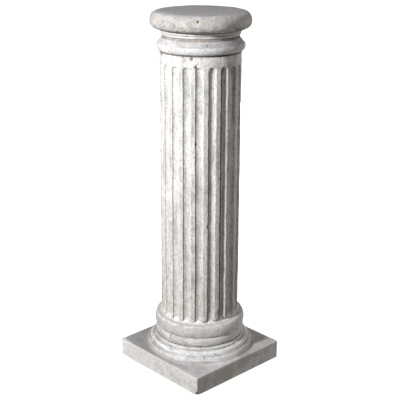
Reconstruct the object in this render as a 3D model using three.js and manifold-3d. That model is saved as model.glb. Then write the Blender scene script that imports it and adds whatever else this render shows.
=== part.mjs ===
import * as THREE from 'three';
import { mergeVertices } from 'three/addons/utils/BufferGeometryUtils.js';
import { RoundedBoxGeometry } from 'three/addons/geometries/RoundedBoxGeometry.js';
import Module from 'manifold-3d';

// A fluted doric column, cast as one piece: a square plinth, a stack of round base mouldings,
// a shaft with round-topped flutes, a collar and necking, and a thick round top with a soft edge.
// Millimetres, +Z up, origin at the centre of the underside, the plinth's sides along X and Y.
// Every moulding is set out from the face of the shaft, and the heights are stacked from the floor.

// Shaft, whose radii are measured on the lands between the flutes

const shaftFootRadius = 101.6;
const shaftTopRadius = 100.5;
const shaftHeight = 690;

// Flutes: round grooves with a round top, open at the foot

const fluteCount = 20;
const fluteWidth = 20.4;
const fluteDepth = 5.5;
const fluteTopGap = 28;
const landEndHeight = 5.5;
const landEndInset = 4;
const footGrooveHeight = 2;

// Plinth, measured from the foot ring that stands on it

const plinthMargin = 9.5;
const plinthHeight = 50;
const plinthEdgeRadius = 2.5;

// Base mouldings, each with its height and how far it stands out from the shaft

const footRingHeight = 16.5;
const footRingProjection = 38.9;
const footRingFall = 8;
const footSwellHeight = 12;
const footSwellProjection = 30.2;
const footSwellFall = 10.4;
const footFilletHeight = 5.5;
const footFilletProjection = 17.4;
const footSlopeHeight = 2.5;
const beadHeight = 23;
const beadProjection = 15.2;
const beadReach = 4.8;
const torusHeight = 34;
const torusProjection = 17;
const torusReach = 8.4;
const ledgeHeight = 2.5;

// Collar and necking, set out from the top of the shaft

const collarSwellHeight = 11;
const collarProjection = 8.8;
const collarShoulderAngle = 30;
const collarSlopeHeight = 14.5;
const neckInset = 5.5;
const neckLip = 1.1;
const neckLipHeight = 1;
const neckHeight = 5.5;
const neckBeadHeight = 6.2;
const neckBeadReach = 2.7;
const neckFilletGap = 1.5;
const neckFilletHeight = 7.5;

// Round top, with an elliptical edge

const topHeight = 42.3;
const topProjection = 25.5;
const topEdgeReach = 19.2;

// How finely the round forms are cut into flat faces

const facetsPerFlute = 3;
const smallCurveSteps = 4;
const mediumCurveSteps = 6;
const largeCurveSteps = 10;
const fluteFacets = 20;
const fluteCapSteps = 4;
const plinthEdgeSteps = 2;

// How far one form runs into the next before they are joined

const overlap = 8;

// Levels above the underside

const footRingLevel = plinthHeight;
const footSwellLevel = footRingLevel + footRingHeight;
const footFilletLevel = footSwellLevel + footSwellHeight;
const footSlopeLevel = footFilletLevel + footFilletHeight;
const beadLevel = footSlopeLevel + footSlopeHeight;
const torusLevel = beadLevel + beadHeight;
const ledgeLevel = torusLevel + torusHeight;
const shaftLevel = ledgeLevel + ledgeHeight;
const collarLevel = shaftLevel + shaftHeight;

const footRingRadius = shaftFootRadius + footRingProjection;
const plinthSide = 2 * (footRingRadius + plinthMargin);

const wasm = await Module();
wasm.setup();

function point(radius, level) {
  return new THREE.Vector2(radius, level);
}

// A stretch of an upright ellipse; 0 degrees is its outermost point and 90 its highest.
function arc(centreRadius, centreLevel, reach, rise, fromDegrees, toDegrees, steps) {
  const from = THREE.MathUtils.degToRad(fromDegrees);
  const to = THREE.MathUtils.degToRad(toDegrees);
  return new THREE.EllipseCurve(centreRadius, centreLevel, reach, rise, from, to).getPoints(steps);
}

// A rounded step that falls inwards as it rises, like a quarter of an ellipse.
function quarterRound(level, height, radius, fall) {
  return arc(radius - fall, level, fall, height, 0, 90, smallCurveSteps);
}

// A half-round ring between two creases.
function halfRound(level, height, radius, reach, steps) {
  return arc(radius - reach, level + height / 2, reach, height / 2, -90, 90, steps);
}

function revolve(profile) {
  const geometry = new THREE.LatheGeometry(profile, fluteCount * facetsPerFlute);
  return geometry.rotateX(Math.PI / 2);
}

// A closed surface with shared corners, without the slivers that meet at the axis.
function solid(geometry) {
  geometry.deleteAttribute('normal');
  geometry.deleteAttribute('uv');
  const merged = mergeVertices(geometry);
  const corners = merged.index.array;
  const kept = [];
  for (let first = 0; first < corners.length; first += 3) {
    const [a, b, c] = corners.slice(first, first + 3);
    if (a !== b && b !== c && c !== a) {
      kept.push(a, b, c);
    }
  }
  return new wasm.Manifold(new wasm.Mesh({
    numProp: 3,
    vertProperties: merged.getAttribute('position').array,
    triVerts: new Uint32Array(kept),
  }));
}

function surface(body) {
  const mesh = body.getMesh();
  const geometry = new THREE.BufferGeometry();
  geometry.setAttribute('position', new THREE.BufferAttribute(mesh.vertProperties, 3));
  geometry.setIndex(new THREE.BufferAttribute(mesh.triVerts, 1));
  const faceted = geometry.toNonIndexed();
  faceted.computeVertexNormals();
  return faceted;
}

function plinth() {
  const block = new RoundedBoxGeometry(plinthSide, plinthSide, plinthHeight, plinthEdgeSteps, plinthEdgeRadius);
  return block.translate(0, 0, plinthHeight / 2);
}

function baseMouldings() {
  const ledgeInnerRadius = shaftFootRadius - fluteDepth - overlap;
  return revolve([
    point(0, plinthHeight - overlap),
    point(footRingRadius - overlap, plinthHeight - overlap),
    point(footRingRadius, footRingLevel - plinthEdgeRadius),
    ...quarterRound(footRingLevel, footRingHeight, footRingRadius, footRingFall),
    ...quarterRound(footSwellLevel, footSwellHeight, shaftFootRadius + footSwellProjection, footSwellFall),
    point(shaftFootRadius + footFilletProjection, footFilletLevel),
    point(shaftFootRadius + footFilletProjection, footSlopeLevel),
    ...halfRound(beadLevel, beadHeight, shaftFootRadius + beadProjection, beadReach, smallCurveSteps),
    ...halfRound(torusLevel, torusHeight, shaftFootRadius + torusProjection, torusReach, mediumCurveSteps),
    point(ledgeInnerRadius, shaftLevel),
    point(0, shaftLevel),
  ]);
}

function collar() {
  const reach = collarProjection;
  const centre = collarLevel + collarSwellHeight;
  return arc(shaftTopRadius, centre, reach, collarSwellHeight, -90, collarShoulderAngle, mediumCurveSteps);
}

// The shaft before it is fluted, with all that stands above it.
function shaftAndHead() {
  const grooveRadius = shaftFootRadius - landEndInset;
  const landEndLevel = shaftLevel + footGrooveHeight;
  const landEnd = arc(grooveRadius, landEndLevel + landEndHeight, landEndInset, landEndHeight, -90, 0,
    smallCurveSteps);
  const collarOutline = collar();
  const neckRadius = shaftTopRadius - neckInset;
  const lipLevel = collarOutline.at(-1).y + collarSlopeHeight;
  const neckLevel = lipLevel + neckLipHeight;
  const neckBeadLevel = neckLevel + neckHeight;
  const neckFilletLevel = neckBeadLevel + neckBeadHeight + neckFilletGap;
  const topLevel = neckFilletLevel + neckFilletHeight;
  const topRadius = shaftTopRadius + topProjection;
  return revolve([
    point(0, shaftLevel - overlap),
    point(grooveRadius, shaftLevel - overlap),
    ...landEnd,
    ...collarOutline,
    point(neckRadius + neckLip, lipLevel),
    point(neckRadius, neckLevel),
    ...halfRound(neckBeadLevel, neckBeadHeight, neckRadius + neckBeadReach, neckBeadReach, smallCurveSteps),
    point(shaftTopRadius, neckFilletLevel),
    point(shaftTopRadius, topLevel),
    ...halfRound(topLevel, topHeight, topRadius, topEdgeReach, largeCurveSteps),
    point(0, topLevel + topHeight),
  ]);
}

// A flute is cut by a long round bar with a ball end, which stands outside the shaft and leans with it.
// The bar's radius is the one that is as wide as the flute where it is as deep as the flute.
function fluteBar(index) {
  const halfWidth = fluteWidth / 2;
  const barRadius = (halfWidth ** 2 + fluteDepth ** 2) / (2 * fluteDepth);
  const topLevel = collarLevel - fluteTopGap - halfWidth;
  const footLevel = shaftLevel - overlap;
  const middle = (topLevel + footLevel) / 2;
  const lean = Math.atan2(shaftFootRadius - shaftTopRadius, shaftHeight);
  const share = (middle - shaftLevel) / shaftHeight;
  const faceRadius = THREE.MathUtils.lerp(shaftFootRadius, shaftTopRadius, share);
  const bar = new THREE.CapsuleGeometry(barRadius, topLevel - footLevel, fluteCapSteps, fluteFacets);
  bar.rotateX(Math.PI / 2);
  bar.rotateY(-lean);
  bar.translate(faceRadius - fluteDepth + barRadius, 0, middle);
  return bar.rotateZ((index + 0.5) * 2 * Math.PI / fluteCount);
}

function flutedColumn() {
  let fluted = solid(shaftAndHead());
  for (let index = 0; index < fluteCount; index += 1) {
    fluted = fluted.subtract(solid(fluteBar(index)));
  }
  return fluted.add(solid(baseMouldings())).add(solid(plinth()));
}

// Pale cast stone with a grey antique wash
const castStone = new THREE.MeshStandardMaterial({ color: 0xcdcac4, roughness: 0.88, metalness: 0 });

const flutedColumnMesh = new THREE.Mesh(surface(flutedColumn()), castStone);
flutedColumnMesh.name = 'fluted_column';

const doricColumn = new THREE.Group();
doricColumn.add(flutedColumnMesh);

export default doricColumn;
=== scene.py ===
import itertools
import math
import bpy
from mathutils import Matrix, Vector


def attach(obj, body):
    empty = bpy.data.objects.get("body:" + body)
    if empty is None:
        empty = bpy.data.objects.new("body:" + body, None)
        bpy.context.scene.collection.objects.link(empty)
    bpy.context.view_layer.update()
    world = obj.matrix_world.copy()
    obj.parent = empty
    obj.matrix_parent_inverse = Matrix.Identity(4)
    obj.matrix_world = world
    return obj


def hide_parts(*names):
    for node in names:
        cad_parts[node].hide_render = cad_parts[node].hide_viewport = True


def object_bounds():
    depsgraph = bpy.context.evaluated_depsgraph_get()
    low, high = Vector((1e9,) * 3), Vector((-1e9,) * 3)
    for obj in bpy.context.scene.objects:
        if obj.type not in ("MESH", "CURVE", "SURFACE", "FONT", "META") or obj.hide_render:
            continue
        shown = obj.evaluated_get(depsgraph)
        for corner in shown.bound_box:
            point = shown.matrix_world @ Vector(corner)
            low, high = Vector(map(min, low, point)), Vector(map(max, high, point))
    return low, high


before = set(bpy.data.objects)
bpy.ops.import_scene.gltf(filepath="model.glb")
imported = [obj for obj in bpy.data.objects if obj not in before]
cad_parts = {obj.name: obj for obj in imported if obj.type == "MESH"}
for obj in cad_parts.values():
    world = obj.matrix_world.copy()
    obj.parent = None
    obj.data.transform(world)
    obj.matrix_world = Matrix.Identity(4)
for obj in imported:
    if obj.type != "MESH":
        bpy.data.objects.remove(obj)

from types import SimpleNamespace

import bmesh
import bpy
from bpy.props import FloatProperty, FloatVectorProperty, IntProperty, PointerProperty
from mathutils import Matrix, Vector

bl_info = {
    "name": "Fluted column",
    "version": (1, 0, 0),
    "blender": (4, 5, 0),
    "location": "3D View > Sidebar > Column",
    "description": "Casts a fluted column on its square plinth and sets up a studio for it",
    "category": "Add Mesh",
}

CAD_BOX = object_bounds()
CAD_NODE = "fluted_column"
PIECE = "column_casting"
MM = 0.001


# Properties

def length(description, millimetres):
    return FloatProperty(
        description=description, default=millimetres * MM, min=0.0,
        unit="LENGTH", subtype="DISTANCE", precision=4,
    )


def angle(description, degrees):
    return FloatProperty(
        description=description, default=math.radians(degrees), unit="ROTATION", subtype="ANGLE",
    )


def amount(description, value):
    return FloatProperty(description=description, default=value, min=0.0)


def colour(description, value):
    return FloatVectorProperty(
        description=description, default=value, size=3, min=0.0, max=1.0, subtype="COLOR",
    )


def label(name):
    return name.replace("_", " ").capitalize()


class ShaftSettings(bpy.types.PropertyGroup):
    foot_radius: length("Radius of the lands at the foot of the shaft", 101.6)
    top_radius: length("Radius of the lands at the top of the shaft", 100.5)
    height: length("From the ledge on the base to the collar", 690)


class FluteSettings(bpy.types.PropertyGroup):
    count: IntProperty(name="Flutes", description="Flutes round the shaft", default=20, min=3)
    width: length("Width of a flute between its lands", 20.4)
    depth: length("Depth of a flute on its centre line", 5.5)
    top_gap: length("Plain band between the tops of the flutes and the collar", 28)
    land_end_height: length("Height over which the foot of a land rounds in", 5.5)
    land_end_inset: length("How far the foot of a land rounds in", 4)
    land_tip_radius: length("Radius of the round foot of a land, seen from outside", 6.4)
    flare_height: length("Height of the sloping foot of a flute", 15)
    flare_reach: length("How far the foot of a flute slopes out", 4.6)
    flare_width: length("Width of the sloping foot of a flute", 25)
    groove_height: length("Height of the groove under the lands", 2)


class PlinthSettings(bpy.types.PropertyGroup):
    margin: length("From the foot ring to the nearest side of the plinth", 9.5)
    height: length("Height of the plinth", 50)
    edge_radius: length("Radius of the softened edges", 2.5)
    corner_power: amount("Power of the rounded square; higher is sharper", 120)


class BaseSettings(bpy.types.PropertyGroup):
    ring_height: length("Height of the foot ring", 16.5)
    ring_projection: length("From the shaft to the foot ring's outside", 38.9)
    ring_fall: length("How far the foot ring falls in as it rises", 8)
    swell_height: length("Height of the swell above the foot ring", 12)
    swell_projection: length("From the shaft to the swell's outside", 30.2)
    swell_fall: length("How far the swell falls in as it rises", 10.4)
    fillet_height: length("Height of the fillet above the swell", 5.5)
    fillet_projection: length("From the shaft to the fillet", 17.4)
    slope_height: length("Height of the slope above the fillet", 2.5)
    bead_height: length("Height of the bead", 23)
    bead_projection: length("From the shaft to the bead's outside", 15.2)
    bead_reach: length("How far the bead stands out of its creases", 4.8)
    torus_height: length("Height of the large round moulding", 34)
    torus_projection: length("From the shaft to the torus's outside", 17)
    torus_reach: length("How far the torus stands out of its creases", 8.4)
    ledge_height: length("Rise of the ledge between the torus and the shaft", 2.5)


class HeadSettings(bpy.types.PropertyGroup):
    collar_swell_height: length("From the crease to the widest of the collar", 11)
    collar_projection: length("How far the collar stands out of the shaft", 8.8)
    collar_shoulder: angle("Where the collar's round turns into its slope", 30)
    collar_slope_height: length("Height of the slope above the collar", 14.5)
    neck_inset: length("How far the neck stands back from the shaft", 5.5)
    neck_lip: length("Width of the lip above the slope", 1.1)
    neck_lip_height: length("Height of the lip above the slope", 1)
    neck_height: length("Height of the neck below its bead", 5.5)
    neck_bead_height: length("Height of the small bead", 6.2)
    neck_bead_reach: length("How far the small bead stands out", 2.7)
    neck_fillet_gap: length("Height of the hollow below the neck fillet", 1.5)
    neck_fillet_height: length("Height of the fillet below the top", 7.5)
    top_height: length("Thickness of the round top", 42.3)
    top_projection: length("How far the top stands out of the shaft", 25.5)
    top_edge_reach: length("How far the top's edge is rounded in", 19.2)


class WearSettings(bpy.types.PropertyGroup):
    wave: length("How far the surface wanders from its true form", 1.6)
    wave_length: length("Length of the wandering of the surface", 45)
    wobble: length("How far the flutes wander sideways", 2.0)
    ripple: length("Depth of the fine unevenness of the casting", 1.1)
    ripple_length: length("Length of the fine unevenness", 12)
    edge_wear: amount("How far the sharp edges have worn away", 1.6)
    base_softness: amount("How far paint and wear have softened the base", 0.6)
    pit_spacing: length("Typical distance between the scattered pits", 75)
    pit_radius: length("Radius of the scattered pits", 3.0)
    pit_depth: length("Depth of the scattered pits", 1.1)
    seed: IntProperty(description="Sets where the scattered pits fall", default=7)


class StoneSettings(bpy.types.PropertyGroup):
    # Laid as the clean stone, and also as painted light on the right, shaded side of the base and the plinth
    pale: colour("Clean pale stone", (0.92, 0.913, 0.90))
    # Laid as the stone's mottling and streaks, and also as painted shade over the left of the base and
    # plinth
    mottle: colour("Grey mottling of the stone", (0.43, 0.415, 0.395))
    # Laid as blotches, and also as painted shade on the left of the plinth's top
    cool: colour("Cool grey blotches", (0.47, 0.48, 0.53))
    blush: colour("Faint pink and tan tone in the patches", (0.62, 0.53, 0.48))
    # Laid as a grey dusting on what faces up, and also as painted shade there and on the far side of the
    # top.
    dust: colour("Cool grey settled on what faces up", (0.41, 0.413, 0.44))
    # Laid as the antique washes and specks, and also as painted shade: under the top, in the hollows, in the
    # flutes, on the tips of the lands, at the far left of the base and across the plinth's top
    wash: colour("Antique wash in the hollows", (0.20, 0.175, 0.155))
    # Laid as soiling in the pits and pores, and also as painted shadow in the creases and in the flutes.
    dirt: colour("Dark dirt in the creases and pits", (0.045, 0.036, 0.028))
    # Laid as a real stain, and also as rusty brown painted shade under the top and in the far flutes
    rust: colour("Brown of the stain, the streaks and the underside of the top", (0.18, 0.105, 0.085))
    # Bluish white paint where the lowest mouldings and the plinth face the camera, partly a painted
    # highlight
    bloom: colour("Bluish white on the lowest rings and the plinth round them", (0.80, 0.81, 0.85))
    # Rubbed white, and on the ledge and the feet of the flutes partly a painted highlight
    chalk: colour("White rubbed on the raised edges", (0.95, 0.95, 0.95))
    head_tint: colour("Warm grey over the round top", (0.68, 0.645, 0.61))
    collar_tint: colour("Cool grey over the collar and neck", (0.73, 0.725, 0.74))
    shaft_tint: colour("Grey that deepens towards the foot of the shaft", (0.78, 0.765, 0.745))
    base_tint: colour("Grey over the base mouldings", (0.86, 0.835, 0.805))
    ring_tint: colour("Grey over the lowest base mouldings", (0.90, 0.895, 0.89))
    plinth_tint: colour("Warm grey over the plinth", (0.97, 0.955, 0.935))


class StudioSettings(bpy.types.PropertyGroup):
    camera_azimuth: angle("Direction of the camera, round from the front", 46.5)
    camera_distance: length("From the column's axis, along the floor", 2203)
    camera_height: length("Above the floor", 1193)
    camera_tilt: angle("How far the camera looks down", 18.68)
    camera_roll: angle("Turn of the camera about its own axis", -0.25)
    camera_lens: FloatProperty(name="Lens", description="Focal length in millimetres", default=81.39)
    key_side: angle("Turn of the key light from the camera, to the left", 46)
    key_rise: angle("Height of the key light above the horizon", 25)
    lamp_distance: length("From the column to each light", 3200)
    key_size: length("Width of the key light", 320)
    fill_size: length("Width of the fill light", 1500)
    key_power: amount("Power of the key light, in watts", 118)
    fill_side: angle("Turn of the fill light from the camera, to the right", 115)
    fill_rise: angle("Height of the fill light above the horizon", 12)
    fill_power: amount("Power of the fill light, in watts", 18)
    back_size: length("Width of the back light", 800)
    back_rise: angle("Height of the back light above the horizon", -5)
    back_power: amount("Power of the back light, in watts", 40)
    sky_strength: amount("Strength of the even light all round", 0.19)
    sky_colour: colour("Colour of the even light all round", (1.0, 0.955, 0.91))
    floor_size: length("Side of the square floor", 40000)
    floor_glow: amount("Light added to the floor so that it stays white", 1.0)


class ColumnSettings(bpy.types.PropertyGroup):
    shaft: PointerProperty(type=ShaftSettings)
    flutes: PointerProperty(type=FluteSettings)
    plinth: PointerProperty(type=PlinthSettings)
    base: PointerProperty(type=BaseSettings)
    head: PointerProperty(type=HeadSettings)
    wear: PointerProperty(type=WearSettings)
    stone: PointerProperty(type=StoneSettings)
    studio: PointerProperty(type=StudioSettings)


# Node trees written as expressions

def expression(operation, swapped=False):
    """A Python operator on wires, which adds the Math node of the operation."""
    def method(self, other):
        first, second = (other, self) if swapped else (self, other)
        return self.board.add("ShaderNodeMath", {"operation": operation}, {0: first, 1: second})
    return method


class Wire:
    """A socket of a node tree, which Python expressions work on."""

    def __init__(self, board, socket):
        self.board = board
        self.socket = socket

    def math(self, operation, *others):
        inputs = dict(enumerate((self, *others)))
        return self.board.add("ShaderNodeMath", {"operation": operation}, inputs)

    __add__ = __radd__ = expression("ADD")
    __mul__ = __rmul__ = expression("MULTIPLY")
    __sub__ = expression("SUBTRACT")
    __rsub__ = expression("SUBTRACT", swapped=True)
    __truediv__ = expression("DIVIDE")
    __rtruediv__ = expression("DIVIDE", swapped=True)
    __pow__ = expression("POWER")
    __gt__ = expression("GREATER_THAN")
    __lt__ = expression("LESS_THAN")

    def __abs__(self):
        return self.math("ABSOLUTE")

    def clamped(self):
        return self.board.add("ShaderNodeClamp", {}, {0: self, 1: 0.0, 2: 1.0})

    def between(self, low, high):
        """0 at low, 1 at high, with a soft turn at both ends; low may be the larger of the two."""
        settings = {"interpolation_type": "SMOOTHSTEP"}
        return self.board.add("ShaderNodeMapRange", settings, {0: self, 1: low, 2: high, 3: 0.0, 4: 1.0})

    def inside(self, low, high):
        """1 between low and high, 0 elsewhere."""
        return (self > low) * (self < high)

    def within(self, low, high, rise, fall):
        """1 from low to high; it comes in over the rise and goes out over the fall, inside them."""
        return self.between(low, low + rise) * self.between(high, high - fall)

    def vector(self, operation, other=None, output=0):
        inputs = {0: self} if other is None else {0: self, 1: other}
        return self.board.add("ShaderNodeVectorMath", {"operation": operation}, inputs, output)

    def scaled(self, factor):
        return self.board.add("ShaderNodeVectorMath", {"operation": "SCALE"}, {0: self, 3: factor})

    def part(self, axis):
        return self.board.add("ShaderNodeSeparateXYZ", {}, {0: self}, "XYZ".index(axis))


def cleared_board(owner):
    """The node tree of a material or a world, emptied."""
    owner.use_nodes = True
    owner.node_tree.nodes.clear()
    return Board(owner.node_tree)


class Board:
    """A node tree that nodes are added to."""

    def __init__(self, tree):
        self.tree = tree

    def add(self, kind, settings=None, inputs=None, output=0):
        node = self.tree.nodes.new(kind)
        for name, value in (settings or {}).items():
            setattr(node, name, value)
        for key, value in (inputs or {}).items():
            if isinstance(value, Wire):
                self.tree.links.new(value.socket, node.inputs[key])
            else:
                node.inputs[key].default_value = value
        return Wire(self, node.outputs[output]) if node.outputs else None

    def join(self, x=0.0, y=0.0, z=0.0):
        return self.add("ShaderNodeCombineXYZ", {}, {0: x, 1: y, 2: z})

    def place(self):
        return self.add("GeometryNodeInputPosition")

    def normal(self):
        return self.add("GeometryNodeInputNormal")

    def noise(self, place, size, detail=2.0, roughness=0.5, output=0):
        """Cloudy noise whose patches are about as large as size, in metres."""
        inputs = {"Vector": place, "Scale": 1.0 / size, "Detail": detail, "Roughness": roughness}
        return self.add("ShaderNodeTexNoise", {}, inputs, output)

    def mix(self, factor, first, second, blend="MIX"):
        """A mix of two colours."""
        settings = {"data_type": "RGBA", "blend_type": blend}
        return self.add("ShaderNodeMix", settings, {0: factor, 6: first, 7: second}, 2)

    def choose(self, factor, first, second):
        """A mix of two numbers."""
        return self.add("ShaderNodeMix", {"data_type": "FLOAT"}, {0: factor, 2: first, 3: second}, 0)

    def sine(self, value):
        return value.math("SINE")

    def cosine(self, value):
        return value.math("COSINE")

    def root(self, value):
        return value.math("MAXIMUM", 0.0).math("SQRT")


def new_object(name, data):
    """An object that holds the data, linked to the scene."""
    made = bpy.data.objects.new(name, data)
    bpy.context.scene.collection.objects.link(made)
    return made


# Profile of the turned form

class Outline:
    """The half section of the column, from the centre of the underside to the centre of the top.
    Each point holds its distance from the axis, its height and how square its ring is."""

    def __init__(self):
        self.points = [(0.0, 0.0, 1.0)]

    def line(self, radius, height, step, square=0.0):
        """Goes straight on to a point, with a ring about every step."""
        last = self.points[-1]
        run = math.dist(last[:2], (radius, height))
        count = max(1, round(run / step))
        for index in range(1, count + 1):
            share = index / count
            self.points.append(tuple(
                a + (b - a) * share for a, b in zip(last, (radius, height, square))
            ))

    def arc(self, centre, reach, rise, start, end, step, square=0.0):
        """Goes along an ellipse; 0 degrees is its outermost point and 90 its highest."""
        turn = math.radians(end - start)
        count = max(2, round(abs(turn) * math.hypot(reach, rise) / math.sqrt(2) / step))
        for index in range(count + 1):
            here = math.radians(start) + turn * index / count
            point = (centre[0] + reach * math.cos(here), centre[1] + rise * math.sin(here), square)
            if math.dist(point[:2], self.points[-1][:2]) > step / 8:
                self.points.append(point)

    def quarter_round(self, radius, level, fall, height):
        """Goes up a rounded step that falls in as it rises."""
        self.arc((radius - fall, level), fall, height, 0, 90, FINE_STEP)

    def half_round(self, radius, level, reach, height, step=None):
        """Goes up a ring that stands out between two creases."""
        self.arc((radius, level + height / 2), reach, height / 2, -90, 90, step or FINE_STEP)


WIDE_STEP = 28.0 * MM
COARSE_STEP = 7.0 * MM
PLAIN_STEP = 4.0 * MM
FINE_STEP = 2.4 * MM
CRISP_STEP = 1.25 * MM


def levels(settings):
    """Heights at which the main forms begin."""
    base = settings.base
    stack = {
        "ring": settings.plinth.height, "swell": base.ring_height, "fillet": base.swell_height,
        "slope": base.fillet_height, "bead": base.slope_height, "torus": base.bead_height,
        "ledge": base.torus_height, "shaft": base.ledge_height, "collar": settings.shaft.height,
    }
    return SimpleNamespace(**dict(zip(stack, itertools.accumulate(stack.values()))))


def plinth_outline(outline, settings):
    plinth = settings.plinth
    ring_radius = settings.shaft.foot_radius + settings.base.ring_projection
    half = ring_radius + plinth.margin
    edge = plinth.edge_radius
    outline.line(half - edge, 0.0, WIDE_STEP, 1.0)
    outline.arc((half - edge, edge), edge, edge, -90, 0, CRISP_STEP, 1.0)
    outline.line(half, plinth.height - edge, PLAIN_STEP, 1.0)
    outline.arc((half - edge, plinth.height - edge), edge, edge, 0, 90, CRISP_STEP, 1.0)
    outline.line(ring_radius, plinth.height, CRISP_STEP / 2, 0.0)


def base_outline(outline, settings, level):
    base = settings.base
    shaft = settings.shaft.foot_radius
    ring = shaft + base.ring_projection
    swell = shaft + base.swell_projection
    fillet = shaft + base.fillet_projection
    bead = shaft + base.bead_projection - base.bead_reach
    torus = shaft + base.torus_projection - base.torus_reach
    groove = shaft - settings.flutes.land_end_inset
    outline.quarter_round(ring, level.ring, base.ring_fall, base.ring_height)
    outline.quarter_round(swell, level.swell, base.swell_fall, base.swell_height)
    outline.line(fillet, level.fillet, CRISP_STEP)
    outline.line(fillet, level.slope, FINE_STEP)
    outline.line(bead, level.bead, FINE_STEP)
    outline.half_round(bead, level.bead, base.bead_reach, base.bead_height)
    outline.half_round(torus, level.torus, base.torus_reach, base.torus_height)
    outline.line(groove, level.shaft, FINE_STEP)


def shaft_outline(outline, settings, level):
    flutes = settings.flutes
    shaft = settings.shaft
    lands_end = level.shaft + flutes.groove_height + flutes.land_end_height + flutes.land_tip_radius
    flute_top = level.collar - flutes.top_gap

    def radius(height):
        share = (height - level.shaft) / shaft.height
        return shaft.foot_radius + (shaft.top_radius - shaft.foot_radius) * share

    foot = outline.points[-1]
    outline.points.append((radius(foot[1]), foot[1] + CRISP_STEP / 4, 0.0))
    for height, step in (
        (lands_end, CRISP_STEP),
        (flute_top - flutes.width / 2, COARSE_STEP),
        (flute_top + CRISP_STEP, CRISP_STEP),
        (level.collar, PLAIN_STEP),
    ):
        outline.line(radius(height), height, step)


def head_outline(outline, settings, level):
    head = settings.head
    shaft = settings.shaft.top_radius
    neck = shaft - head.neck_inset
    centre = level.collar + head.collar_swell_height
    shoulder = math.degrees(head.collar_shoulder)
    outline.arc((shaft, centre), head.collar_projection, head.collar_swell_height, -90, shoulder, FINE_STEP)
    height = outline.points[-1][1] + head.collar_slope_height
    outline.line(neck + head.neck_lip, height, FINE_STEP)
    height += head.neck_lip_height
    outline.line(neck, height, CRISP_STEP)
    height += head.neck_height
    outline.line(neck, height, FINE_STEP)
    outline.half_round(neck, height, head.neck_bead_reach, head.neck_bead_height, CRISP_STEP)
    height += head.neck_bead_height + head.neck_fillet_gap
    outline.line(shaft, height, FINE_STEP)
    height += head.neck_fillet_height
    outline.line(shaft, height, FINE_STEP)
    top = shaft + head.top_projection - head.top_edge_reach
    outline.line(top, height, FINE_STEP)
    outline.half_round(top, height, head.top_edge_reach, head.top_height)
    outline.line(0.0, height + head.top_height, COARSE_STEP)


def outline_object(settings):
    """The half section as a chain of points, with how square each ring is kept beside it."""
    level = levels(settings)
    outline = Outline()
    plinth_outline(outline, settings)
    base_outline(outline, settings, level)
    shaft_outline(outline, settings, level)
    head_outline(outline, settings, level)
    mesh = bpy.data.meshes.new(PIECE)
    points = [(radius, 0.0, height) for radius, height, square in outline.points]
    mesh.from_pydata(points, [(index, index + 1) for index in range(len(points) - 1)], [])
    squareness = mesh.attributes.new("square", "FLOAT", "POINT")
    squareness.data.foreach_set("value", [point[2] for point in outline.points])
    return new_object(PIECE, mesh)


# Shape of the casting

CORNER_CROWDING = 0.75
LAND_COLUMNS = 2
FLUTE_COLUMNS = 12
PITCH_COLUMNS = 2 * LAND_COLUMNS + FLUTE_COLUMNS
MERGE_DISTANCE = 0.005 * MM
FAR = 10.0
SMALLEST_FLARE = 0.1 * MM

# Wear: the heights over which it comes in, its rounds of smoothing and the sizes of its patches

FLOOR_FADE = 3.0 * MM
SHAFT_FADE = 10.0 * MM
BASE_END_GAP = 8.0 * MM
CROWN_SOFTENED = (36.0 * MM, 12.0 * MM)
BASE_ROUNDS = 5
CROWN_ROUNDS = 36
EDGE_ROUNDS = 2
EDGE_PATCHES = 16.0 * MM
PIT_RAGGEDNESS = 7.0 * MM
HOLLOWS = {"near": (4, 0.6 * MM), "wide": (16, 2.2 * MM)}


def casting_inputs(settings):
    """Named inputs of the shape and their values."""
    level = levels(settings)
    flutes = settings.flutes
    high = CAD_BOX[1]
    values = {
        "Flutes": flutes.count,
        "Flute width": flutes.width,
        "Flute depth": flutes.depth,
        "Flute top": level.collar - flutes.top_gap,
        "Shaft foot": level.shaft,
        "Shaft top": level.collar,
        "Foot radius": settings.shaft.foot_radius,
        "Top radius": settings.shaft.top_radius,
        "Corner power": settings.plinth.corner_power,
        "Plinth height": settings.plinth.height,
        "Half side": high.x,
        "Total height": high.z,
    }
    feet = ("land_end_height", "land_end_inset", "land_tip_radius", "groove_height",
            "flare_height", "flare_reach", "flare_width")
    for group, names in ((flutes, feet), (settings.wear, WearSettings.__annotations__)):
        for name in names:
            values[label(name)] = getattr(group, name)
    return values


def casting_tree(values, stone):
    """Turns the half section, cuts the flutes, and wears the surface as a casting wears."""
    tree = bpy.data.node_groups.new("Cast column", "GeometryNodeTree")
    tree.interface.new_socket("Outline", in_out="INPUT", socket_type="NodeSocketGeometry")
    for name, value in values.items():
        kind = "NodeSocketInt" if isinstance(value, int) else "NodeSocketFloat"
        tree.interface.new_socket(name, in_out="INPUT", socket_type=kind)
    tree.interface.new_socket("Casting", in_out="OUTPUT", socket_type="NodeSocketGeometry")
    board = Board(tree)
    entry = tree.nodes.new("NodeGroupInput")
    given = SimpleNamespace(**{
        socket.name.replace(" ", "_").lower(): Wire(board, socket) for socket in entry.outputs if socket.name
    })
    shape = turned(board, given)
    shape = worn(board, given, shape)
    shape = pitted(board, given, shape)
    shape = kept_inside(board, given, shape)
    shape = measured(board, shape)
    shape = board.add("GeometryNodeRealizeInstances", {}, {0: shape})
    shape = board.add("GeometryNodeSetMaterial", {}, {"Geometry": shape, "Material": stone})
    board.add("NodeGroupOutput", {}, {0: shape})
    return tree


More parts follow.
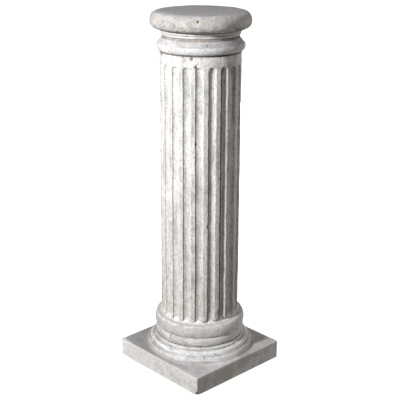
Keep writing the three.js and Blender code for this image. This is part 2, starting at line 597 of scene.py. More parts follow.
def turned(board, given):
    """A grid whose rows take their place from the half section and whose columns go round the axis."""
    outline = given.outline
    rows = board.add("GeometryNodeAttributeDomainSize", {"component": "MESH"}, {0: outline})
    columns = given.flutes * PITCH_COLUMNS
    grid = board.add("GeometryNodeMeshGrid", {}, {
        "Size X": 1.0, "Size Y": 1.0, "Vertices X": columns + 1.0, "Vertices Y": rows,
    })
    place = board.place()
    column = (place.part("X") + 0.5) * columns
    row = ((place.part("Y") + 0.5) * (rows - 1.0)).math("ROUND")
    square_field = board.add("GeometryNodeInputNamedAttribute", {"data_type": "FLOAT"}, {"Name": "square"})
    sampled, square = (
        board.add("GeometryNodeSampleIndex", {"data_type": kind}, {0: outline, "Value": value, "Index": row})
        for kind, value in (("FLOAT_VECTOR", place), ("FLOAT", square_field))
    )
    radius = sampled.part("X")
    height = sampled.part("Z")

    pitch = math.tau / given.flutes
    share = (height - given.shaft_foot) / (given.shaft_top - given.shaft_foot)
    face = board.choose(share.clamped(), given.foot_radius, given.top_radius)
    turn = column_turn(board, given, column, pitch)
    turn = turn + square * board.sine(turn * 4.0) * CORNER_CROWDING / 4.0
    power = given.corner_power
    cosine = board.cosine(turn)
    sine = board.sine(turn)
    squared = radius / ((abs(cosine) ** power + abs(sine) ** power) ** (1.0 / power))
    radius = board.choose(square, radius, squared)

    on_shaft = height.inside(given.shaft_foot - MERGE_DISTANCE, given.shaft_top)
    across = (turn / pitch).math("FRACT") * pitch - pitch / 2.0
    floor = flute_floor(board, given, face, across, height)
    land_across = ((turn / pitch + 0.5).math("FRACT") * pitch - pitch / 2.0) * face
    land = land_end(board, given, face, land_across, height)
    low = flare(board, given, face, across, height) * on_shaft
    slope = given.flare_reach * (1.0 - board.root(1.0 - low * low))
    cut = floor.math("MINIMUM", land).math("MAXIMUM", face - given.flute_depth + slope)
    radius = radius.math("MINIMUM", board.choose(on_shaft, FAR, cut))

    rim = board.choose(on_shaft, FAR, flute_rim(board, given, face, across, height)) / MM
    shape = keep(board, grid, "rim", rim)
    shape = keep(board, shape, "flare", low)
    shape = keep(board, shape, "side", across.math("SIGN") * -1.0)
    shape = moved(board, shape, "Position", board.join(radius * cosine, radius * sine, height))
    return board.add("GeometryNodeMergeByDistance", {}, {"Geometry": shape, "Distance": MERGE_DISTANCE})


def column_turn(board, given, column, pitch):
    """Turn of a grid column round the axis, with the columns closest together at the rims of the flutes."""
    flute_turn = (given.flute_width / (2.0 * given.foot_radius)).math("ARCSINE") * 2.0
    land_turn = (pitch - flute_turn) / 2.0
    number = (column / PITCH_COLUMNS).math("FLOOR")
    step = column - number * PITCH_COLUMNS
    first = (step / LAND_COLUMNS).clamped()
    second = ((step - LAND_COLUMNS) / FLUTE_COLUMNS).clamped()
    third = ((step - LAND_COLUMNS - FLUTE_COLUMNS) / LAND_COLUMNS).clamped()
    turn = number * pitch + board.sine(first * math.pi / 2.0) * land_turn
    turn = turn + (1.0 - board.cosine(second * math.pi)) * flute_turn / 2.0
    return turn + (1.0 - board.cosine(third * math.pi / 2.0)) * land_turn


def moved(board, shape, way, value):
    """Sets each point's place, or offsets it, as the way says."""
    return board.add("GeometryNodeSetPosition", {}, {"Geometry": shape, way: value})


def keep(board, shape, name, value):
    """Stores a number at each point under a name, which the stone's colours read."""
    return board.add("GeometryNodeStoreNamedAttribute", {"data_type": "FLOAT", "domain": "POINT"}, {
        "Geometry": shape, "Name": name, "Value": value,
    })


def flute_rim(board, given, face, across, height):
    """Distance outwards from the rim of the nearest flute, seen from outside; below 0 inside it."""
    half = given.flute_width / 2.0
    above = (height - (given.flute_top - half)).math("MAXIMUM", 0.0)
    aside = board.sine(across) * face
    return board.root(above * above + aside * aside) - half


def flare(board, given, face, across, height):
    """How far down the sloping foot of a flute a point lies: 0 above it, 1 at the ledge.
    It is tallest in the middle of the flute and runs out under the lands."""
    aside = abs(board.sine(across) * face)
    tall = given.flare_height * (1.0 - 2.0 * aside / given.flare_width).clamped()
    above = (height - given.shaft_foot).math("MAXIMUM", 0.0)
    return (1.0 - above / tall.math("MAXIMUM", SMALLEST_FLARE)).clamped()


def flute_floor(board, given, face, across, height):
    """Distance from the axis to a flute's floor: a round bar with a ball end, cut into the shaft."""
    half = given.flute_width / 2.0
    depth = given.flute_depth
    bar = (half * half + depth * depth) / (2.0 * depth)
    centre = face - depth + bar
    above = (height - (given.flute_top - half)).math("MAXIMUM", 0.0)
    aside = board.sine(across) * centre
    inside = bar * bar - above * above - aside * aside
    floor = board.cosine(across) * centre - board.root(inside)
    return board.choose(inside > 0.0, FAR, floor)


def land_end(board, given, face, across, height):
    """Distance from the axis to a land, which rounds in at its foot and ends in a round tip."""
    tip = given.land_tip_radius
    shift = tip - board.root(tip * tip - across * across)
    end = given.land_end_height
    foot = given.shaft_foot + given.groove_height
    low = ((foot + end + shift - height) / end).clamped()
    return face - given.land_end_inset * (1.0 - board.root(1.0 - low * low))


def blurred_place(board, rounds, weight=1.0):
    """Each point's place averaged with its neighbours' places."""
    place = board.place()
    settings = {"data_type": "FLOAT_VECTOR"}
    return board.add("GeometryNodeBlurAttribute", settings, {
        "Value": place, "Iterations": rounds, "Weight": weight,
    })


def worn(board, given, shape):
    """Softened base, slow waves, sideways wobble of the flutes, fine ripple and rubbed edges."""
    place = board.place()
    normal = board.normal()
    height = place.part("Z")
    foot = given.shaft_foot
    off_floor = (height / FLOOR_FADE).clamped()
    on_shaft = height.within(foot, given.shaft_top, SHAFT_FADE, SHAFT_FADE)
    on_base = height.inside(given.plinth_height - MM, foot - BASE_END_GAP)
    on_crown = height.between(*(given.total_height - depth for depth in CROWN_SOFTENED))
    for rounds, weight in ((BASE_ROUNDS, on_base * given.base_softness), (CROWN_ROUNDS, on_crown)):
        soft = blurred_place(board, rounds, weight)
        shape = moved(board, shape, "Position", soft)

    wave = board.noise(place, given.wave_length, 2.0)
    ripple = board.noise(place, given.ripple_length, 3.0, 0.6)
    inward = (wave - 0.5) * given.wave + (ripple - 0.5) * given.ripple
    offset = normal.scaled(inward * off_floor * -1.0)

    sway = board.noise(place, given.wave_length, 2.0, 0.6, 1).vector("SUBTRACT", (0.5, 0.5, 0.5))
    sway = sway.vector("MULTIPLY", (2.0, 2.0, 0.0)).scaled(given.wobble * on_shaft)
    shape = moved(board, shape, "Offset", offset.vector("ADD", sway))

    inset = blurred_place(board, EDGE_ROUNDS).vector("SUBTRACT", place)
    sharp = inset.vector("DOT_PRODUCT", normal, 1).math("MINIMUM", 0.0)
    patchy = board.noise(place, EDGE_PATCHES, 4.0, 0.7).between(0.45, 0.7)
    on_plinth = height < given.plinth_height + MM
    rubbed = normal.scaled(sharp * patchy * given.edge_wear * off_floor * (1.0 - on_plinth * 0.5))
    return moved(board, shape, "Offset", rubbed)


# Marks that the photograph shows, each with its turn round the axis in degrees, its distance from
# the axis, its height, its radius and its depth in millimetres

MARK_SLENDERNESS = 0.65
MARKS = {
    "pit in the edge of the top": (-46.6, 121, 917, 4.0, 3.0),
    "pit high on the shaft": (-96.9, 98, 732, 4.0, 2.5),
    "pit in a flute above the middle": (-49.6, 98, 621, 5.0, 3.0),
    "pit at the middle": (-79.8, 99, 517, 4.0, 2.5),
    "pit below the middle": (-63.9, 98, 328, 4.0, 2.5),
    "pit low on the shaft": (-78.9, 99, 235, 5.0, 3.0),
    "chip over a flute": (-49.9, 100, 809, 5.5, 2.5),
    "notch in the edge of a land": (-31.6, 101, 413, 6.0, 3.0),
    "chip low on the front corner of the plinth": (-45.0, 213, 0, 12.0, 4.5),
    "chip on the left corner of the plinth": (-134.0, 211, 50, 7.0, 2.5),
    "dent in the front of the plinth": (-120.0, 172, 27, 6.0, 1.8),
    "second dent in the front of the plinth": (-117.0, 166, 25, 5.0, 1.6),
    "dent by the front corner of the plinth": (-50.0, 194, 16, 5.0, 1.6),
}


def distance_from(place, turn, reach, height, slenderness):
    """Distance from a mark given in degrees and millimetres, drawn out upwards by a slenderness below 1."""
    angle_round = math.radians(turn)
    centre = Vector((reach * math.cos(angle_round), reach * math.sin(angle_round), height)) * MM
    off_centre = place.vector("SUBTRACT", centre).vector("MULTIPLY", (1.0, 1.0, slenderness))
    return off_centre.vector("LENGTH", None, 1)


def pitted(board, given, shape):
    """The marks of the photograph, and shallow round pits scattered over the casting."""
    density = 1.0 / (given.pit_spacing * given.pit_spacing)
    points = board.add("GeometryNodeDistributePointsOnFaces", {"distribute_method": "RANDOM"}, {
        "Mesh": shape, "Density": density, "Seed": given.seed,
    })
    place = board.place()
    normal = board.normal()
    ragged = 0.7 + board.noise(place, PIT_RAGGEDNESS, 2.0, 0.6) * 0.6
    off_floor = (place.part("Z") / FLOOR_FADE).clamped()
    distance = board.add("GeometryNodeProximity", {"target_element": "POINTS"}, {0: points}, "Distance")
    inside = 1.0 - (distance * ragged / given.pit_radius).clamped()
    sunk = inside.between(0.0, 1.0) * given.pit_depth * off_floor
    for turn, reach, height, radius, depth in MARKS.values():
        off_centre = distance_from(place, turn, reach, height, MARK_SLENDERNESS)
        inside = 1.0 - (off_centre * ragged / (radius * MM)).clamped()
        sunk = sunk.math("MAXIMUM", inside.between(0.0, 1.0) * depth * MM)
    offset = normal.scaled(sunk * -1.0)
    shape = keep(board, shape, "pit", sunk / MM)
    return moved(board, shape, "Offset", offset)


def kept_inside(board, given, shape):
    """Nothing stands proud of the plinth's sides, the underside or the top."""
    place = board.place()
    side = given.half_side
    low = board.join(side * -1.0, side * -1.0, 0.0)
    high = board.join(side, side, given.total_height)
    where = place.vector("MAXIMUM", low).vector("MINIMUM", high)
    return moved(board, shape, "Position", where)


def measured(board, shape):
    """Keeps how far the surface faces up, and how hollow or raised it is, close by and more widely."""
    shape = keep(board, shape, "up", board.normal().part("Z"))
    for name, (rounds, largest) in HOLLOWS.items():
        place = board.place()
        normal = board.normal()
        inset = blurred_place(board, rounds).vector("SUBTRACT", place)
        hollow = inset.vector("DOT_PRODUCT", normal, 1) / largest
        shape = keep(board, shape, name, hollow)
    return shape


def make_real(piece, tree, values):
    """Evaluates the tree on the piece and keeps the result as its plain mesh."""
    modifier = piece.modifiers.new(tree.name, "NODES")
    modifier.node_group = tree
    for item in tree.interface.items_tree:
        if item.in_out == "INPUT" and item.name in values:
            modifier[item.identifier] = values[item.name]
    graph = bpy.context.evaluated_depsgraph_get()
    mesh = bpy.data.meshes.new_from_object(piece.evaluated_get(graph), depsgraph=graph)
    piece.modifiers.clear()
    old = piece.data
    piece.data = mesh
    bpy.data.meshes.remove(old)
    mesh.name = piece.name


CREASE_ANGLE = math.radians(33)


def face_outwards(mesh):
    shell = bmesh.new()
    shell.from_mesh(mesh)
    bmesh.ops.recalc_face_normals(shell, faces=shell.faces)
    shell.to_mesh(mesh)
    shell.free()
    mesh.shade_smooth()
    mesh.set_sharp_from_angle(angle=CREASE_ANGLE)


# Directions across the camera's view: to its left, and straight away from it. Many coats laid along them are
# painted light and shade.

LEFT_OF_VIEW = (-0.69, -0.72, 0.0)
AWAY_FROM_VIEW = (-0.72, 0.69, 0.0)

# Noises of the stone: how far each is drawn out along the shaft, its size, detail and roughness

NOISES = {
    "grit": (0.0, 2.8 * MM, 2.0, 0.7),
    "grain": (0.3, 5.5 * MM, 4.0, 0.75),
    "streaks": (0.95, 7.0 * MM, 4.0, 0.7),
    "blotches": (0.65, 22.0 * MM, 5.0, 0.7),
    "smears": (0.0, 26.0 * MM, 5.0, 0.72),
    "clouds": (0.5, 60.0 * MM, 5.0, 0.62),
}
BRUSH_STRETCH = (0.12, 0.12, 1.0)
BRUSH_SIZE = 3.2 * MM

# Where the coats come in: heights above the floor or above a form, and fades

NECK_ABOVE_COLLAR = 31.0 * MM
HEAD_ABOVE_COLLAR = 50.0 * MM
SOFT_EDGE = 5.0 * MM
COLLAR_START = 4.0 * MM
SHAFT_STREAKS_FADE = (20.0 * MM, 30.0 * MM)
SHAFT_TINT_TOP = 650.0 * MM
RUNS_FROM = (450.0 * MM, 750.0 * MM)
BLOOM_REACH = 12.0 * MM
FLUTE_CAP = (-26.0 * MM, -6.0 * MM)
LAND_TIP = (9.0 * MM, 4.0 * MM)
PLINTH_EDGE = (2.0 * MM, 0.0)
PLINTH_TINT_EDGE = (4.0 * MM, -2.0 * MM)
RAISED_EDGE = (-MM, MM)
WISPS_RISE = (2.0 * MM, 4.0 * MM)
BLUISH_RISE = 6.0 * MM
HOLLOWS_RISE = (0.0, 8.0 * MM)
CREASES_RISE = (4.0 * MM, 12.0 * MM)
SWELL_PAST_FILLET = 2.0 * MM
SWELL_FADES = (5.0 * MM, 4.0 * MM)
LEDGE_BELOW = 0.6 * MM
LEDGE_ABOVE = 2.0 * MM
LEDGE_FADES = (1.2 * MM, 2.0 * MM)
LEDGE_BARE = (-MM, 6.0 * MM)

# Stain on the plain band, in degrees and millimetres, and the pores, relief and sheen of the stone

STAIN = {"turn": -56.0, "reach": 100.5, "height": 833.0, "slenderness": 0.45}
STAIN_RADIUS = 6.0 * MM
PORE_SPACING = 7.0 * MM
PORE_CROWDING = 35.0 * MM
CELLS_WITHOUT_PORE = 0.65
SMALLEST_PORE = 0.03
NEAR_ZERO = 0.001
BUMP_HEIGHT = 1.4 * MM
BUMP_STRENGTH = 0.7
SMOOTHEST = 0.78
SHEEN = 0.25


def rgba(value):
    return (*value, 1.0)


class Skin:
    """The face of the stone: what is known at each point, and the colour that coats build up."""

    def __init__(self, board, settings):
        self.board = board
        self.settings = settings
        self.level = level = levels(settings)
        self.tone = rgba(settings.stone.pale)
        self.place = place = board.add("ShaderNodeTexCoord", output="Object")
        self.height = height = place.part("Z")
        for name in ("near", "wide", "rim", "side", "flare", "pit", "up"):
            field = board.add("ShaderNodeAttribute", {"attribute_name": name}, output="Fac")
            setattr(self, name, field)
        for name, (drawn, size, detail, roughness) in NOISES.items():
            setattr(self, name, board.noise(self.drawn_up(drawn), size, detail, roughness))
        self.brush = board.noise(place.vector("MULTIPLY", BRUSH_STRETCH), BRUSH_SIZE, 3.0, 0.65)
        # How far a point lies to the camera's left, and to its right. Coats laid along these are mostly
        # painted light and shade.
        self.weather = place.vector("DOT_PRODUCT", LEFT_OF_VIEW, 1) / settings.shaft.foot_radius
        self.lee = self.weather * -1.0
        self.reach = place.vector("MULTIPLY", (1.0, 1.0, 0.0)).vector("LENGTH", None, 1)

        top = self.top = level.collar + HEAD_ABOVE_COLLAR
        neck = level.collar + NECK_ABOVE_COLLAR
        self.on_plinth = self.above(level.ring, PLINTH_EDGE)
        self.on_base = height.inside(level.ring, level.ledge)
        self.on_shaft = height.within(level.shaft, level.collar, *SHAFT_STREAKS_FADE)
        self.on_collar = height.within(level.collar - COLLAR_START, top, COLLAR_START, SOFT_EDGE)
        self.on_neck = height.inside(neck, top - settings.head.neck_fillet_height)
        self.on_fillet = height.inside(neck, top)
        self.on_head = height.between(top, top + SOFT_EDGE)

    def above(self, level, rises):
        """0 at the first rise above a level and 1 at the second, with a soft turn at both ends."""
        return self.height.between(*(level + rise for rise in rises))

    def drawn_up(self, share):
        """Places whose heights are drawn together along the shaft, so that a noise is drawn out."""
        if not share:
            return self.place
        level = self.level
        run = (self.height - level.shaft).math("MAXIMUM", 0.0)
        run = run.math("MINIMUM", level.collar - level.shaft)
        return self.place.vector("SUBTRACT", self.board.join(0.0, 0.0, run * share))

    def coat(self, share, colour_name, blend="MIX"):
        """Lays one of the stone's colours over a share of what is there."""
        paint = rgba(getattr(self.settings.stone, colour_name))
        self.tone = self.board.mix(share, self.tone, paint, blend)


def mottling(skin):
    """Pale stone with grey mottling, cool blotches, tan patches, upright streaks and specks."""
    blotches, clouds, grain, grit = skin.blotches, skin.clouds, skin.grain, skin.grit
    uneven = grain * 1.5 + grit * 0.8 + blotches * 1.5 + clouds * 2.2 - 3.0
    uneven = uneven * (1.0 - skin.on_plinth * 0.35)
    skin.coat((0.18 + uneven * 1.2).clamped(), "mottle")
    skin.coat(blotches.between(0.5, 0.62) * clouds.between(0.44, 0.56) * 0.45, "cool")
    tan = clouds.between(0.52, 0.4) * grain.between(0.44, 0.6)
    streaks = skin.streaks * skin.on_shaft
    skin.coat(tan * 0.3, "blush")
    skin.coat((streaks * 2.0).between(0.3, 0.75) * tan * 0.5, "blush")
    skin.coat(streaks.between(0.44, 0.66) * 0.5, "mottle")
    tints(skin)
    skin.coat(grit.between(0.55, 0.66) * grain.between(0.42, 0.58) * 0.6, "wash")


def tints(skin):
    """Greys that change from one part of the column to the next."""
    height, level, top = skin.height, skin.level, skin.top
    for share, tint in (
        (height.between(top - SOFT_EDGE, top), "head_tint"),
        (height.between(SHAFT_TINT_TOP, level.shaft) * (height > level.shaft), "shaft_tint"),
        (height.inside(level.slope, level.shaft), "base_tint"),
        (height.inside(level.ring, level.slope), "ring_tint"),
        (skin.on_collar, "collar_tint"),
        (skin.above(level.ring, PLINTH_TINT_EDGE), "plinth_tint"),
    ):
        skin.coat(share, tint, "MULTIPLY")


def dust(skin):
    """A grey dusting on what faces up, away from the collar and the feet of the flutes, laid also as painted
    shade that darkens the upward faces.
    """
    upward = skin.up + (skin.blotches - 0.5) * 0.8
    # Painted shade as well as a dusting: the more a face turns up, the greyer it is laid.
    settled = upward.between(0.3, 0.9) * (1.0 + skin.on_plinth * 0.4)
    settled = skin.board.choose(skin.on_head, settled, upward.between(0.0, 0.95) * 1.1)
    settled = settled * (1.0 - skin.flare.clamped()) * (1.0 - skin.on_collar)
    skin.coat(settled * (0.2 + skin.clouds * 0.6) * 0.8, "dust")


def head_coats(skin):
    """Painted shade under the round top, rusty brown and deeper on its right, shaded side; stains on its
    edge; a cool, dusted flat with painted shade towards its far side; and a darker left edge.
    """
    up, lee, on_head, blotches, smears = skin.up, skin.lee, skin.on_head, skin.blotches, skin.smears
    # Painted shade: darker under the round top
    skin.coat((up.between(-0.05, -0.6) * on_head * (0.2 + blotches * 0.9)).clamped(), "wash")
    # Painted shade: darker still under the top on its right, shaded side
    right_under_shade = up.between(0.0, -0.7) * on_head * lee.between(0.1, 0.9)
    skin.coat(right_under_shade * (0.2 + blotches * 0.6), "wash")
    # Painted shade in brown under the top
    skin.coat(up.between(-0.3, -0.9) * on_head * (skin.clouds * 1.4).clamped() * 0.7, "rust")
    skin.coat(smears.between(0.5, 0.66) * on_head * up.between(0.7, 0.0) * 0.45, "wash")
    on_top = on_head * up.between(0.6, 0.95)
    skin.coat(on_top * (0.15 + smears.between(0.5, 0.62) * 0.5), "cool")
    # Painted shade: the flat darker towards the side away from the camera
    behind = skin.place.vector("DOT_PRODUCT", AWAY_FROM_VIEW, 1) / skin.settings.shaft.foot_radius
    skin.coat(on_top * behind.between(-0.6, 0.8) * 0.4, "dust")
    skin.coat(smears.between(0.5, 0.36) * on_head * abs(up).between(0.5, 0.1) * 0.4, "pale")
    # Darker towards the left edge of the top
    skin.coat(skin.weather.between(0.75, 1.2) * on_head * 0.3, "wash")


def collar_coats(skin):
    """Cool blotches on the collar, and brushed brown on the neck and its fillet."""
    brush, on_neck = skin.brush, skin.on_neck
    skin.coat(skin.on_collar * skin.blotches.between(0.46, 0.62) * 0.55, "cool")
    skin.coat(on_neck * (0.1 + brush.between(0.42, 0.6) * 0.5), "blush")
    skin.coat(on_neck * brush.between(0.52, 0.62) * 0.4, "wash")
    browned = skin.on_fillet * skin.blotches.between(0.42, 0.58)
    skin.coat(browned * 0.4, "blush")
    skin.coat(browned * abs(skin.weather).between(0.3, 0.9) * 0.45, "wash")


def base_coats(skin):
    """Cool blotches on the base; painted shade over the left of the base and plinth, deeper at the far left
    of the base; and painted light on the base's right, shaded side.
    """
    level, weather, lee, on_base = skin.level, skin.weather, skin.lee, skin.on_base
    skin.coat(on_base * skin.blotches.between(0.56, 0.4) * 0.25, "cool")
    # Painted shade: the left of the base and plinth darker
    left_shade = weather.between(-0.9, 0.5) * skin.height.between(level.shaft, level.ledge)
    skin.coat(left_shade * skin.board.choose(skin.on_plinth, 0.62, 0.4), "mottle")
    # Painted shade: darker still at the far left of the base
    skin.coat(weather.between(0.5, 1.3) * on_base * 0.45, "wash")
    # Painted light: paler on the right, shaded side
    skin.coat(lee.between(0.0, 0.6) * (1.0 - lee.between(1.0, 1.4) * 0.6) * on_base * 0.55, "pale")


def plinth_coats(skin):
    """Painted shade on the plinth's top, bluish white round the ring's front that is partly a painted
    highlight, and painted light with warm patches on the plinth's right, shaded side.
    """
    weather, lee, clouds = skin.weather, skin.lee, skin.clouds
    on_step = skin.on_plinth * skin.up.between(0.6, 0.9)
    # Painted shade: the plinth's top cooler and darker on the left
    skin.coat(on_step * weather.between(0.1, 1.2) * 0.7, "cool")
    # Painted shade: the plinth's top darker towards its left and right
    skin.coat(on_step * (weather.between(0.3, 1.3) * 0.45 + lee.between(0.3, 1.3) * 0.2), "wash")
    foot_ring = skin.settings.shaft.foot_radius + skin.settings.base.ring_projection
    beside = skin.reach.between(foot_ring + BLOOM_REACH, foot_ring)
    # Bluish white round the foot of the ring where it faces the camera: paint, and partly a painted
    # highlight
    bloom = on_step * beside * abs(weather).between(1.0, 0.2)
    skin.coat(bloom * (skin.brush + skin.blotches).between(0.65, 1.1) * 0.8, "bloom")
    # Painted light: the right, shaded faces of the plinth lightened, with warm patches
    lifted_warm_right = skin.on_plinth * lee.between(0.1, 0.9) * (1.0 - on_step)
    skin.coat(lifted_warm_right * 0.3, "pale")
    skin.coat(lifted_warm_right * clouds.between(0.42, 0.56) * 0.75, "blush")


def ring_coats(skin):
    """Bluish white on the lowest rings where they face the camera, partly a painted highlight; brush marks
    on the rings; and smears over the whole base.
    """
    height, level, on_base = skin.height, skin.level, skin.on_base
    # Partly a painted highlight: bluish white strongest where the rings face the camera
    bluish = height.inside(level.ring + BLUISH_RISE, level.slope)
    skin.coat(bluish * abs(skin.weather).between(1.3, 0.4) * 0.4, "bloom")
    on_rings = on_base * (height < level.torus)
    skin.coat(on_rings * skin.brush.between(0.52, 0.36) * 0.2, "wash")
    skin.coat(skin.smears.between(0.5, 0.66) * on_base * 0.27, "wash")


def hollow_coats(skin):
    """Antique washes in the hollows and soiling in the creases, except in the flutes, laid also as painted
    shade: darker the more hollow the surface, and more on the right, shaded side.
    """
    grain, ring = skin.grain, skin.level.ring
    clear = skin.rim.between(-1.0, 3.0) * (1.0 - skin.on_neck * 0.6)
    # Painted shade: more on the right, shaded side, broken by blotches
    blotchy_right_shade = skin.blotches * 1.2 + skin.lee.between(0.0, 0.8) * 1.2
    # Painted shade as well as antique washes: darker the more hollow the surface
    hollow = (skin.near.between(0.03, 0.7) * 0.7 + skin.wide.between(0.05, 0.9) * 0.6).clamped()
    hollow = hollow * clear * skin.board.choose(skin.on_base, 1.0, blotchy_right_shade)
    low = (skin.on_base + skin.on_plinth).clamped()
    hollow = hollow * skin.board.choose(low, 1.0, skin.above(ring, HOLLOWS_RISE))
    skin.coat((hollow * (0.35 + grain * 0.9)).clamped(), "wash")
    # Soiling and painted shade in the creases
    crease = skin.near.between(0.4, 1.0) * clear * blotchy_right_shade
    crease = crease * skin.above(ring, CREASES_RISE)
    skin.coat((crease * 0.8).clamped(), "dirt")


def flute_coats(skin):
    """Painted shadow, with some soiling, on the shadowed side of each flute and under its round top, widest
    on the right, shaded side; dark runs down the flutes; and painted shade on the tips of the lands.
    """
    rim, lee, grain, height, foot = skin.rim, skin.lee, skin.grain, skin.height, skin.level.shaft
    # The side of each flute that lies in shadow
    shade_side_walls = skin.side.between(-0.5, 0.5)
    # Reaching further into the flutes on the right, shaded side, where the painted shadow is wider
    deeper = rim + lee.between(0.1, 0.6) * 4.5
    wall = deeper.between(-2.9, -1.8) * rim.between(0.2, -0.8) * shade_side_walls
    wall = wall * (1.0 - skin.weather.between(0.2, 0.9) * 0.6)
    skin.coat((wall * (0.3 + grain * 0.8)).clamped(), "wash")
    runs = skin.streaks.between(0.46, 0.6) * rim.between(-1.0, -3.0) * skin.on_shaft
    skin.coat(runs * lee.between(0.4, 0.7) * height.between(*RUNS_FROM) * 0.75, "wash")
    # Painted shadow, darker towards the right
    skin.coat(wall * (lee.between(-0.2, 0.3) * 0.5 + grain * 0.7).clamped(), "dirt")
    flutes_end = skin.level.collar - skin.settings.flutes.top_gap
    # Painted shadow under the round tops of the flutes on the right
    cap = skin.above(flutes_end, FLUTE_CAP)
    cap = cap * rim.between(0.0, -1.5) * shade_side_walls * lee.between(0.1, 0.5)
    skin.coat(cap * grain.between(0.3, 0.5) * 0.75, "dirt")
    # Painted shade on the rounded tips of the lands
    tip = skin.above(foot, LAND_TIP) * (height > foot) * (rim > -2.0)
    skin.coat(tip * 0.6, "wash")


def chalk(skin):
    """Chalky white on worn edges and brushed rings, along the rims of the flutes, on the ledge and the feet;
    on the ledge and the feet it is partly a painted highlight, laid heavier on the right, shaded side.
    """
    height, level, grain, blotches = skin.height, skin.level, skin.grain, skin.blotches
    weather = skin.weather
    off_plinth = skin.above(level.ring, RAISED_EDGE)
    low = 1.0 - off_plinth
    raised = 0.15 + off_plinth * 0.6 + low * weather.between(1.6, 2.0) * 0.7
    raised = raised * skin.near.between(-0.15, -0.9) * blotches.between(0.36, 0.56)
    corner = low * weather.between(1.75, 2.1) * grain.between(0.4, 0.6) * 0.5
    rims = (1.0 - (abs(skin.rim - 0.7) / 1.3).clamped()) * blotches.between(0.4, 0.56) * 0.6
    swell = height.within(level.swell, level.fillet + SWELL_PAST_FILLET, *SWELL_FADES)
    brushed = swell * (skin.brush + grain * 0.2).between(0.54, 0.76) * 0.55
    wisps = skin.above(level.ring, WISPS_RISE) * (height < level.torus)
    wisps = wisps * skin.brush.between(0.54, 0.68) * 0.4
    rubbed = (raised + corner + rims + brushed + wisps) * skin.pit.between(0.3, 0.0)
    ledge = height.within(level.ledge - LEDGE_BELOW, level.shaft + LEDGE_ABOVE, *LEDGE_FADES)
    close = skin.settings.shaft.foot_radius
    ledge = ledge * (1.0 - skin.reach.between(*(close + margin for margin in LEDGE_BARE)) * 0.75)
    painted = (ledge * blotches.between(0.36, 0.54) + skin.flare.between(0.05, 0.5)).clamped()
    # More white on the right, shaded side than on the left: painted light
    painted = (0.85 - weather * 0.25) * painted * (0.5 + grain).clamped()
    skin.coat((rubbed + painted).clamped(), "chalk")


def rust(skin):
    """A rusty brown line of painted shade in the flutes on the right, shaded side, and a stain that runs
    down the plain band above the flutes.
    """
    # Painted shade: a brown line on the shadowed side of the far flutes
    shade_line = (1.0 - (abs(skin.rim + 5.0) / 3.5).clamped()) * skin.side.between(-0.5, 0.5)
    shade_line = shade_line * skin.lee.between(0.55, 0.75) * (skin.clouds * 3.0 - 1.0).clamped()
    stain = distance_from(skin.place, **STAIN).between(STAIN_RADIUS, STAIN_RADIUS * 0.4)
    skin.coat((shade_line + stain * skin.grain.between(0.3, 0.6)).clamped(), "rust")


def pores(board, place):
    """Small dark casting holes of many sizes, close together in some places and absent in others."""
    settings = {"feature": "F1"}
    inputs = {"Vector": place, "Scale": 1.0 / PORE_SPACING}
    cells = board.add("ShaderNodeTexVoronoi", settings, inputs)
    chance = board.add("ShaderNodeTexVoronoi", settings, inputs, "Color").part("X")
    crowding = board.noise(place, PORE_CROWDING, 3.0, 0.6)
    size = crowding.between(0.45, 0.65) * (chance - CELLS_WITHOUT_PORE).math("MAXIMUM", 0.0)
    return (cells / (size + NEAR_ZERO)).between(1.0, 0.6) * (size > SMALLEST_PORE)


def stone_material(settings):
    """Pale cast stone under grey antique washes, rubbed white on its edges, with light and shade painted
    into its colour in many places.
    """
    material = bpy.data.materials.new("Cast stone")
    board = cleared_board(material)
    skin = Skin(board, settings)
    for lay in (
        mottling, dust, collar_coats, base_coats, plinth_coats, ring_coats, head_coats,
        hollow_coats, flute_coats, chalk, rust,
    ):
        lay(skin)
    pore = pores(board, skin.place)
    skin.coat((pore * 0.8 + skin.pit.between(0.35, 2.0) * 0.85).clamped(), "dirt")
    relief = skin.grain * 0.7 + skin.grit * 0.35 + skin.blotches * 0.6 - pore * 1.2
    bump = board.add("ShaderNodeBump", {}, {
        "Strength": BUMP_STRENGTH, "Distance": BUMP_HEIGHT, "Height": relief,
    })
    shader = board.add("ShaderNodeBsdfPrincipled", {}, {
        "Base Color": skin.tone, "Normal": bump,
        "Roughness": SMOOTHEST + skin.grit * 0.2, "Specular IOR Level": SHEEN,
    })
    board.add("ShaderNodeOutputMaterial", {}, {"Surface": shader})
    return material


# Studio

FLOOR_COLOUR = (0.9, 0.9, 0.9, 1.0)
FLOOR_ROUGHNESS = 0.9
WHITE = (1.0, 1.0, 1.0, 1.0)
AIM_SHARE = 0.6


def direction(azimuth, rise):
    """The unit vector from the column towards a place round it; 0 looks along +Y."""
    return Vector((math.sin(azimuth) * math.cos(rise), -math.cos(azimuth) * math.cos(rise), math.sin(rise)))


def make_camera(studio):
    data = bpy.data.cameras.new("Camera")
    data.lens = studio.camera_lens
    data.clip_end = studio.floor_size
    camera = new_object("Camera", data)
    place = direction(studio.camera_azimuth, 0.0) * studio.camera_distance
    place.z = studio.camera_height
    back = direction(studio.camera_azimuth, studio.camera_tilt)
    right = Vector((math.cos(studio.camera_azimuth), math.sin(studio.camera_azimuth), 0.0))
    up = back.cross(right)
    turn = Matrix((right, up, back)).transposed().to_4x4()
    roll = Matrix.Rotation(-studio.camera_roll, 4, "Z")
    camera.matrix_world = Matrix.Translation(place) @ turn @ roll
    bpy.context.scene.camera = camera


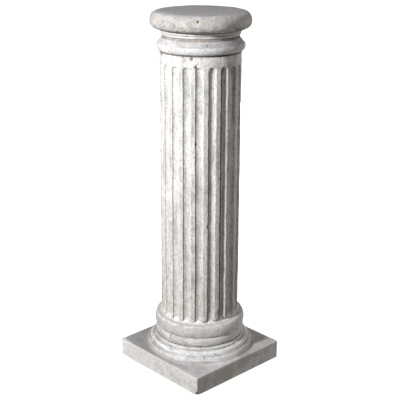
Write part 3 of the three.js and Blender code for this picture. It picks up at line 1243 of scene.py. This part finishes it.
def make_lamp(name, azimuth, rise, distance, size, power):
    data = bpy.data.lights.new(name, "AREA")
    data.shape = "SQUARE"
    data.size = size
    data.energy = power
    lamp = new_object(name, data)
    lamp.visible_camera = False
    aim = Vector((0.0, 0.0, CAD_BOX[1].z * AIM_SHARE))
    towards = direction(azimuth, rise)
    turn = towards.to_track_quat("Z", "Y").to_matrix().to_4x4()
    lamp.matrix_world = Matrix.Translation(aim + towards * distance) @ turn


def make_sky(studio):
    world = bpy.data.worlds.new("Studio")
    bpy.context.scene.world = world
    board = cleared_board(world)
    glow = {"Color": rgba(studio.sky_colour), "Strength": studio.sky_strength}
    light = board.add("ShaderNodeBackground", {}, glow)
    board.add("ShaderNodeOutputWorld", {}, {"Surface": light})


def make_floor(studio):
    half = studio.floor_size / 2
    mesh = bpy.data.meshes.new("Floor")
    corners = [(-half, -half, 0.0), (half, -half, 0.0), (half, half, 0.0), (-half, half, 0.0)]
    mesh.from_pydata(corners, [], [(0, 1, 2, 3)])
    floor = new_object("Floor", mesh)
    material = bpy.data.materials.new("Pale floor")
    material.use_nodes = True
    inputs = material.node_tree.nodes["Principled BSDF"].inputs
    inputs["Base Color"].default_value = FLOOR_COLOUR
    inputs["Roughness"].default_value = FLOOR_ROUGHNESS
    inputs["Emission Color"].default_value = WHITE
    inputs["Emission Strength"].default_value = studio.floor_glow
    mesh.materials.append(material)
    floor.visible_diffuse = False


# Add-on

class COLUMN_OT_cast(bpy.types.Operator):
    """Casts the fluted column in one piece with its plinth and dresses it in stone"""

    bl_idname = "column.cast"
    bl_label = "Cast column"

    def execute(self, context):
        settings = context.scene.column
        piece = outline_object(settings)
        values = casting_inputs(settings)
        tree = casting_tree(values, stone_material(settings))
        make_real(piece, tree, values)
        bpy.data.node_groups.remove(tree)
        face_outwards(piece.data)
        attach(piece, "root")
        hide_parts(CAD_NODE)
        return {"FINISHED"}


class COLUMN_OT_stage(bpy.types.Operator):
    """Sets up the camera, the light, the sky and the pale floor"""

    bl_idname = "column.stage"
    bl_label = "Set up studio"

    def execute(self, context):
        studio = context.scene.column.studio
        make_camera(studio)
        for name, turn in (("key", -studio.key_side), ("fill", studio.fill_side), ("back", math.pi)):
            rise, size, power = (getattr(studio, f"{name}_{part}") for part in ("rise", "size", "power"))
            make_lamp(label(name), studio.camera_azimuth + turn, rise, studio.lamp_distance, size, power)
        make_sky(studio)
        make_floor(studio)
        context.scene.view_settings.view_transform = "Standard"
        return {"FINISHED"}


class COLUMN_PT_panel(bpy.types.Panel):
    """Lists the column's operators and settings"""

    bl_idname = "COLUMN_PT_panel"
    bl_label = "Column"
    bl_space_type = "VIEW_3D"
    bl_region_type = "UI"
    bl_category = "Column"

    def draw(self, context):
        layout = self.layout
        layout.operator(COLUMN_OT_stage.bl_idname)
        layout.operator(COLUMN_OT_cast.bl_idname)
        for group_name in ColumnSettings.__annotations__:
            group = getattr(context.scene.column, group_name)
            box = layout.box()
            box.label(text=group_name.capitalize())
            for name in group.bl_rna.properties.keys():
                if name not in ("rna_type", "name"):
                    box.prop(group, name)


CLASSES = (
    ShaftSettings, FluteSettings, PlinthSettings, BaseSettings, HeadSettings, WearSettings,
    StoneSettings, StudioSettings, ColumnSettings, COLUMN_OT_cast, COLUMN_OT_stage, COLUMN_PT_panel,
)


def register():
    """Registers the classes, with each setting labelled after its attribute."""
    for item in CLASSES:
        for name, setting in getattr(item, "__annotations__", {}).items():
            setting.keywords.setdefault("name", label(name))
        bpy.utils.register_class(item)
    bpy.types.Scene.column = PointerProperty(type=ColumnSettings)


def unregister():
    del bpy.types.Scene.column
    for item in reversed(CLASSES):
        bpy.utils.unregister_class(item)


def main():
    register()
    bpy.ops.column.stage()
    bpy.ops.column.cast()


if __name__ == "__main__":
    main()
